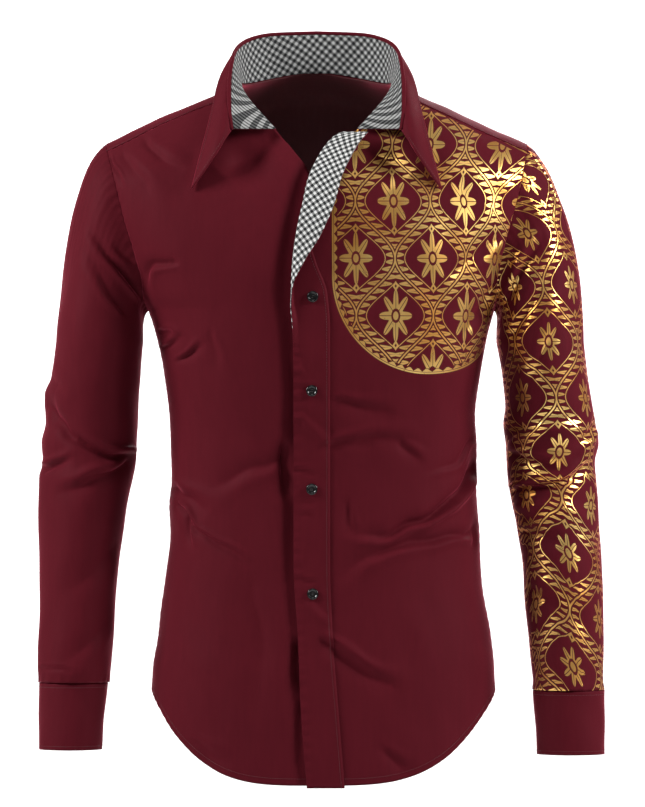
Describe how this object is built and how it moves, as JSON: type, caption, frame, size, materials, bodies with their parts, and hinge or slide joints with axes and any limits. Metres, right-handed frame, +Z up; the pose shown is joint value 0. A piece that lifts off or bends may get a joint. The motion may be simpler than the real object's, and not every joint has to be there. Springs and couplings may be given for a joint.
{
  "type": "long-sleeve shirt",
  "caption": "Slim long-sleeve shirt worn open at the neck, with a spread collar, buttoned placket turned out to show a checked facing, printed sleeve and chest, and a curved hem",
  "frame": {"origin": "middle of the neck, level with the shoulder seams beside it, where the wearer's neck and shoulders hold the shirt", "axes": "+X towards the wearer's left sleeve, +Y towards the back, +Z up"},
  "size_m": [0.5875, 0.2469, 0.7851],
  "materials": {
    "poplin": "fine burgundy poplin with a slight satin sheen",
    "poplin_printed": "the same poplin with a gold foil print",
    "gingham": "fine black and white gingham check",
    "button": "polished black, four holes"
  },
  "bodies": {
    "root": {"yoke": "poplin", "back": "poplin", "front_right": "poplin", "front_left": "poplin_printed", "placket": "poplin", "facing": "gingham", "collar_stand": "gingham", "collar_leaf": "poplin", "sleeve_right": "poplin", "sleeve_left": "poplin_printed", "cuff_right": "poplin", "cuff_left": "poplin", "button_1": "button", "button_2": "button", "button_3": "button", "button_4": "button", "cuff_button_right": "button", "cuff_button_left": "button"}
  },
  "joints": []
}
